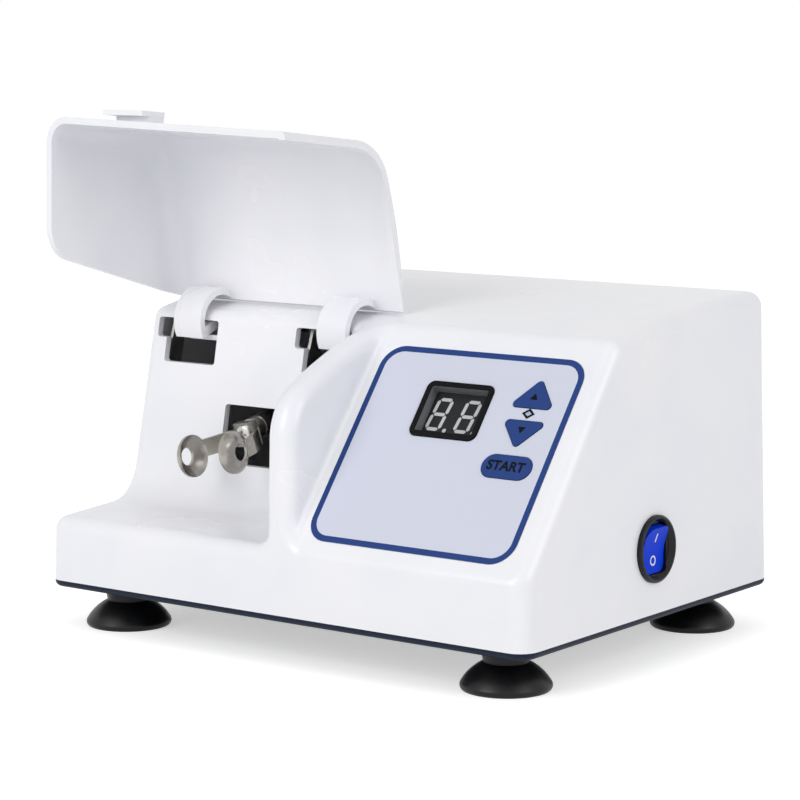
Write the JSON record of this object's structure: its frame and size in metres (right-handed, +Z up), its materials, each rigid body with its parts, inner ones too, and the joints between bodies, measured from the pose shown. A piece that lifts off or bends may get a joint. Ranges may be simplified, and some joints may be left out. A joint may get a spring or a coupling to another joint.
{
  "type": "dental amalgamator",
  "caption": "Bench mixer for dental capsules: open lid over a swinging clip in a stepped chamber, sloping key panel with display, suction feet.",
  "frame": {"origin": "on the bench, midway between the four suction feet", "axes": "+X to the right of the front, +Y to the back, +Z up"},
  "size_m": [0.2069, 0.1636, 0.1843],
  "materials": {
    "white_shell": "injection moulded white ABS, glossy, faint blue-grey cast",
    "navy_base": "injection moulded navy ABS, satin gloss",
    "black_rubber": "moulded black rubber, glossy",
    "overlay_film": "screen printed polyester film, fine matt grain",
    "window_black": "moulded black acrylic, glossy",
    "key_blue": "moulded blue ABS, satin",
    "rocker_blue": "moulded blue nylon, glossy",
    "switch_black": "moulded black nylon, satin",
    "led_lens": "diffused epoxy lens, unlit",
    "steel": "turned stainless steel, satin",
    "spring_steel": "polished spring steel",
    "brass": "turned brass",
    "circuit_board": "glass epoxy laminate, green solder mask",
    "motor_steel": "drawn steel can, grey enamel",
    "zinc_steel": "pressed steel, bright zinc plate",
    "dark_part": "black glass-filled plastic",
    "fuse_glass": "glass tube with plated end caps"
  },
  "bodies": {
    "housing": {"base_plate": "navy_base", "board_screws": "zinc_steel", "capacitors": "dark_part", "casing": "white_shell", "casing_screws": "zinc_steel", "control_board": "circuit_board", "damper_bushes": "black_rubber", "display_module": "dark_part", "display_window": "window_black", "foot_screws": "zinc_steel", "fuse_holder": "switch_black", "hinge_bracket_left": "zinc_steel", "hinge_bracket_right": "zinc_steel", "hinge_rod": "steel", "hinge_screws": "brass", "inlet_nuts": "zinc_steel", "inlet_pins": "brass", "inlet_screws": "zinc_steel", "interlock_sensor": "dark_part", "key_switches": "dark_part", "mains_inlet": "switch_black", "motor": "motor_steel", "motor_bracket": "zinc_steel", "motor_face_screws": "zinc_steel", "motor_nuts": "zinc_steel", "motor_screws": "zinc_steel", "panel_overlay": "overlay_film", "power_board": "circuit_board", "restraint_spring": "spring_steel", "rocker_bezel": "switch_black", "rod_clips": "spring_steel", "spring_anchor": "zinc_steel", "status_led": "led_lens", "suction_foot_back_left": "black_rubber", "suction_foot_back_right": "black_rubber", "suction_foot_front_left": "black_rubber", "suction_foot_front_right": "black_rubber", "supply_screws": "zinc_steel", "transformer": "dark_part"},
    "lid": {"lid": "white_shell", "lid_magnet": "steel"},
    "rocker": {"rocker": "rocker_blue"},
    "up_key": {"up_key": "key_blue"},
    "down_key": {"down_key": "key_blue"},
    "start_key": {"start_key": "key_blue"},
    "drive_shaft": {"drive_shaft": "steel", "skew_sleeve": "steel", "set_screw": "dark_part", "bearing_inner_ring": "steel", "bearing_balls": "steel"},
    "swing_arm": {"bearing_outer_ring": "steel", "arm_hub": "steel", "clip_left": "spring_steel", "clip_right": "spring_steel", "clip_screw": "spring_steel"},
    "fuse_cap": {"fuse_cap": "switch_black", "fuse": "fuse_glass"}
  },
  "joints": [
    {"name": "lid_hinge", "type": "hinge", "parent": "housing", "child": "lid", "pos_m": [0, -0.0173, 0.1064], "axis": [1, 0, 0], "range_deg": [0, 95]},
    {"name": "rocker_pivot", "type": "hinge", "parent": "housing", "child": "rocker", "pos_m": [0.10014, -0.0006, 0.0392], "axis": [0, -1, 0], "range_deg": [0, 18]},
    {"name": "up_key_press", "type": "slide", "parent": "housing", "child": "up_key", "axis": [0, 0.7875, -0.6163], "range_m": [0, 0.0004], "stiffness_N_per_m": 2500},
    {"name": "down_key_press", "type": "slide", "parent": "housing", "child": "down_key", "axis": [0, 0.7875, -0.6163], "range_m": [0, 0.0004], "stiffness_N_per_m": 2500},
    {"name": "start_key_press", "type": "slide", "parent": "housing", "child": "start_key", "axis": [0, 0.7875, -0.6163], "range_m": [0, 0.0004], "stiffness_N_per_m": 2500},
    {"name": "shaft_spin", "type": "hinge", "parent": "housing", "child": "drive_shaft", "pos_m": [0, 0.0003, 0.078], "axis": [1, 0, 0], "continuous": true},
    {"name": "arm_swing", "type": "hinge", "parent": "drive_shaft", "child": "swing_arm", "pos_m": [-0.0467, 0.0003, 0.078], "axis": [0.9877, 0, 0.1564], "continuous": true},
    {"name": "fuse_cap_turn", "type": "hinge", "parent": "housing", "child": "fuse_cap", "pos_m": [0.0106, 0.07791, 0.045], "axis": [0, 0.9998, 0.0209], "range_deg": [0, 90]}
  ],
  "couplings": [
    {"joint": "arm_swing", "follows": "shaft_spin", "ratio": -1}
  ]
}
